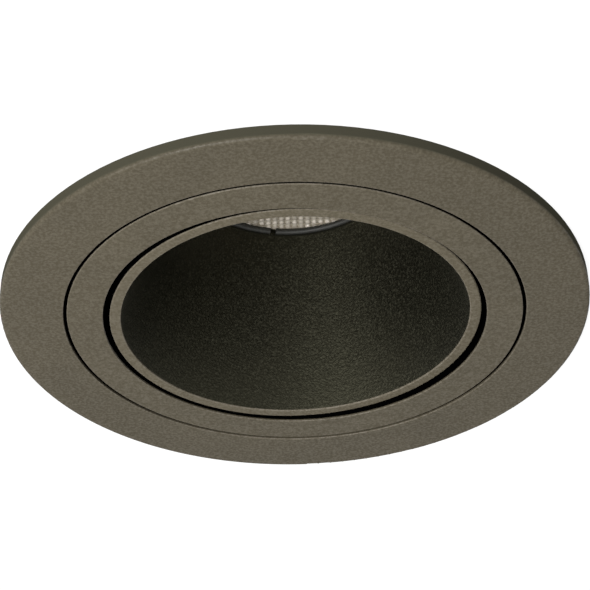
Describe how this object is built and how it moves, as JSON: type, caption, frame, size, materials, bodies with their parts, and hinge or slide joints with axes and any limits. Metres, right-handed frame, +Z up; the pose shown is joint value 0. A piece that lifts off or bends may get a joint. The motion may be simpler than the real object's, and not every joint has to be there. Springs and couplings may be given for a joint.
{
  "type": "recessed spotlight",
  "caption": "Round recessed ceiling spotlight: flush bronze flange and swivel ring, tilting head with a deep black anti-glare cone, sprung ceiling clips and a finned heat sink.",
  "frame": {"origin": "centre of the ceiling plane, at the flange's back face on the collar's axis", "axes": "+Z up along the collar's axis into the ceiling, light leaves along -Z; X through the two ceiling clips; Y along the head's tilt axis"},
  "size_m": [0.1618, 0.135, 0.0974],
  "materials": {
    "bronze_powder_coat": "fine textured powder coat",
    "black_powder_coat": "fine textured matt black",
    "foam_black": "closed-cell foam",
    "nylon_white": "natural nylon",
    "spring_steel": "spring steel",
    "zinc_steel": "zinc plated",
    "screw_steel": "stainless",
    "clear_acrylic": "clear moulded optic",
    "silicone": "silicone",
    "sleeve_vinyl": "soft vinyl",
    "cast_aluminium": "die-cast, tumbled",
    "sheet_aluminium": "stamped sheet",
    "nylon_black": "moulded nylon",
    "gland_rubber": "moulded rubber",
    "led_ceramic": "white ceramic board",
    "led_phosphor": "yellow phosphor"
  },
  "bodies": {
    "housing": {"bezel": "bronze_powder_coat", "ceiling_gasket": "foam_black", "slide_ring_lower": "nylon_black", "slide_ring_upper": "nylon_black", "circlip": "spring_steel", "stop_pin": "zinc_steel", "clip_bracket_left": "zinc_steel", "clip_bracket_right": "zinc_steel", "clip_rivets": "zinc_steel", "clip_pin_left": "zinc_steel", "clip_pin_right": "zinc_steel", "clip_spring_left": "spring_steel", "clip_spring_right": "spring_steel"},
    "swivel": {"swivel_ring": "bronze_powder_coat"},
    "head": {"trim_rim": "bronze_powder_coat", "baffle_cone": "black_powder_coat", "pivot_screws": "screw_steel", "pivot_washers": "nylon_white", "pivot_spring_washers": "spring_steel", "snap_ring": "spring_steel", "lens": "clear_acrylic", "lens_gasket": "silicone", "optic_holder": "nylon_white", "led_emitter": "led_phosphor", "led_board": "led_ceramic", "thermal_pad": "silicone", "led_clamp": "nylon_black", "led_clamp_screws": "screw_steel", "heat_sink": "cast_aluminium", "heat_sink_fins": "sheet_aluminium", "heat_sink_o_ring": "silicone", "heat_sink_screws": "screw_steel", "gland_body": "nylon_black", "gland_seal": "gland_rubber", "gland_nut": "nylon_black"},
    "clip_left": {"clip_arm_left": "spring_steel", "clip_sleeve_left": "sleeve_vinyl"},
    "clip_right": {"clip_arm_right": "spring_steel", "clip_sleeve_right": "sleeve_vinyl"}
  },
  "joints": [
    {"name": "swivel_turn", "type": "hinge", "parent": "housing", "child": "swivel", "pos_m": [0, 0, 0], "axis": [0, 0, 1], "range_deg": [-175, 175]},
    {"name": "head_tilt", "type": "hinge", "parent": "swivel", "child": "head", "pos_m": [0, 0, 0.0075], "axis": [0, -1, 0], "range_deg": [-26, 24]},
    {"name": "clip_fold_left", "type": "hinge", "parent": "housing", "child": "clip_left", "pos_m": [-0.05298, 0, 0.019], "axis": [0, 1, 0], "range_deg": [0, 105], "stiffness_Nm_per_rad": 0.08, "springref_deg": -34.38, "deforming": ["clip_spring_left"]},
    {"name": "clip_fold_right", "type": "hinge", "parent": "housing", "child": "clip_right", "pos_m": [0.05298, 0, 0.019], "axis": [0, -1, 0], "range_deg": [0, 105], "stiffness_Nm_per_rad": 0.08, "springref_deg": -34.38, "deforming": ["clip_spring_right"]}
  ]
}
